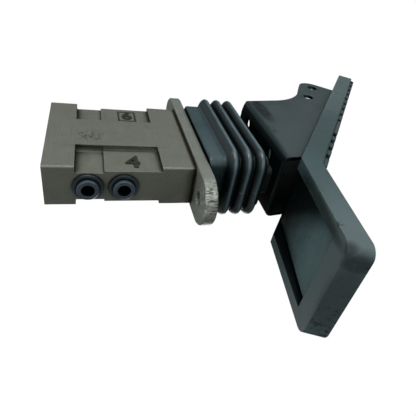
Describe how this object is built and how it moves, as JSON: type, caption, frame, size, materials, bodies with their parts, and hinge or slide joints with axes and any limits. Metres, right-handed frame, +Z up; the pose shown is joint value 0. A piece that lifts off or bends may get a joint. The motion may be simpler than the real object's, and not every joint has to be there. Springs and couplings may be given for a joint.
{
  "type": "foot pilot valve",
  "caption": "Hydraulic foot pilot valve: cast housing with plugged ports under an obround mounting flange, and a rocking heel-and-toe pedal on a pivot inside a ribbed bellows.",
  "frame": {"origin": "centre of the mounting flange's seating face, midway between its two bolt holes", "axes": "+Z up along the valve towards the pedal, +X towards the heel end of the pedal, Y along the pivot pin"},
  "size_m": [0.2939, 0.0792, 0.33],
  "materials": {
    "cast_housing": "fine-milled cast iron, oiled",
    "flange_iron": "machined steel, phosphated",
    "zinc_screw": "zinc plated",
    "ground_steel": "hardened and ground",
    "spring_steel": "drawn spring wire",
    "bush_steel": "turned",
    "bronze": "turned bronze",
    "lever_iron": "cast, black oxide",
    "bellows_rubber": "moulded, satin",
    "seal_rubber": "moulded",
    "bracket_paint": "satin paint over sheet steel",
    "plate_paint": "satin paint over steel plate",
    "cover_rubber": "moulded, fine grain",
    "pad_rubber": "moulded, studded",
    "plug_plastic": "moulded"
  },
  "bodies": {
    "valve_body": {"valve_housing": "cast_housing", "mounting_flange": "flange_iron", "flange_screws": "zinc_screw", "pivot_pin": "ground_steel", "pivot_circlips": "ground_steel", "bellows": "bellows_rubber", "guide_bush_heel": "bush_steel", "bush_seal_heel": "seal_rubber", "plunger_seal_heel": "seal_rubber", "wiper_seal_heel": "seal_rubber", "return_spring_heel": "spring_steel", "port_plug_heel_lower": "plug_plastic", "port_plug_heel_upper": "plug_plastic", "guide_bush_toe": "bush_steel", "bush_seal_toe": "seal_rubber", "plunger_seal_toe": "seal_rubber", "wiper_seal_toe": "seal_rubber", "return_spring_toe": "spring_steel", "port_plug_toe_lower": "plug_plastic", "port_plug_toe_upper": "plug_plastic"},
    "pedal": {"rocker_lever": "lever_iron", "pivot_bushes": "bronze", "adjusting_screws": "zinc_screw", "lock_nuts": "zinc_screw", "pedal_bracket": "bracket_paint", "bracket_screws": "zinc_screw", "bracket_washers": "zinc_screw", "tread_plate": "plate_paint", "tread_cover": "cover_rubber", "stud_pad": "pad_rubber"},
    "plunger_heel_body": {"plunger_heel": "ground_steel", "control_spring_heel": "spring_steel"},
    "spool_heel_body": {"spool_heel": "ground_steel", "spring_seat_heel": "ground_steel"},
    "plunger_toe_body": {"plunger_toe": "ground_steel", "control_spring_toe": "spring_steel"},
    "spool_toe_body": {"spool_toe": "ground_steel", "spring_seat_toe": "ground_steel"}
  },
  "joints": [
    {"name": "pedal_tilt", "type": "hinge", "parent": "valve_body", "child": "pedal", "pos_m": [0, 0, 0.028], "axis": [0, 1, 0], "range_deg": [-12, 12], "stiffness_Nm_per_rad": 25, "springref_deg": 0.29, "deforming": ["bellows"]},
    {"name": "plunger_heel_slide", "type": "slide", "parent": "valve_body", "child": "plunger_heel_body", "axis": [0, 0, 1], "range_m": [-0.0057, 0.0057], "deforming": ["return_spring_heel", "control_spring_heel"]},
    {"name": "spool_heel_slide", "type": "slide", "parent": "valve_body", "child": "spool_heel_body", "axis": [0, 0, 1], "range_m": [-0.0012, 0.0012]},
    {"name": "plunger_toe_slide", "type": "slide", "parent": "valve_body", "child": "plunger_toe_body", "axis": [0, 0, 1], "range_m": [-0.0057, 0.0057], "deforming": ["return_spring_toe", "control_spring_toe"]},
    {"name": "spool_toe_slide", "type": "slide", "parent": "valve_body", "child": "spool_toe_body", "axis": [0, 0, 1], "range_m": [-0.0012, 0.0012]}
  ],
  "couplings": [
    {"joint": "plunger_heel_slide", "follows": "pedal_tilt", "m_per_rad": -0.0268},
    {"joint": "spool_heel_slide", "follows": "pedal_tilt", "m_per_rad": -0.0054},
    {"joint": "plunger_toe_slide", "follows": "pedal_tilt", "m_per_rad": 0.0268},
    {"joint": "spool_toe_slide", "follows": "pedal_tilt", "m_per_rad": 0.0054}
  ]
}
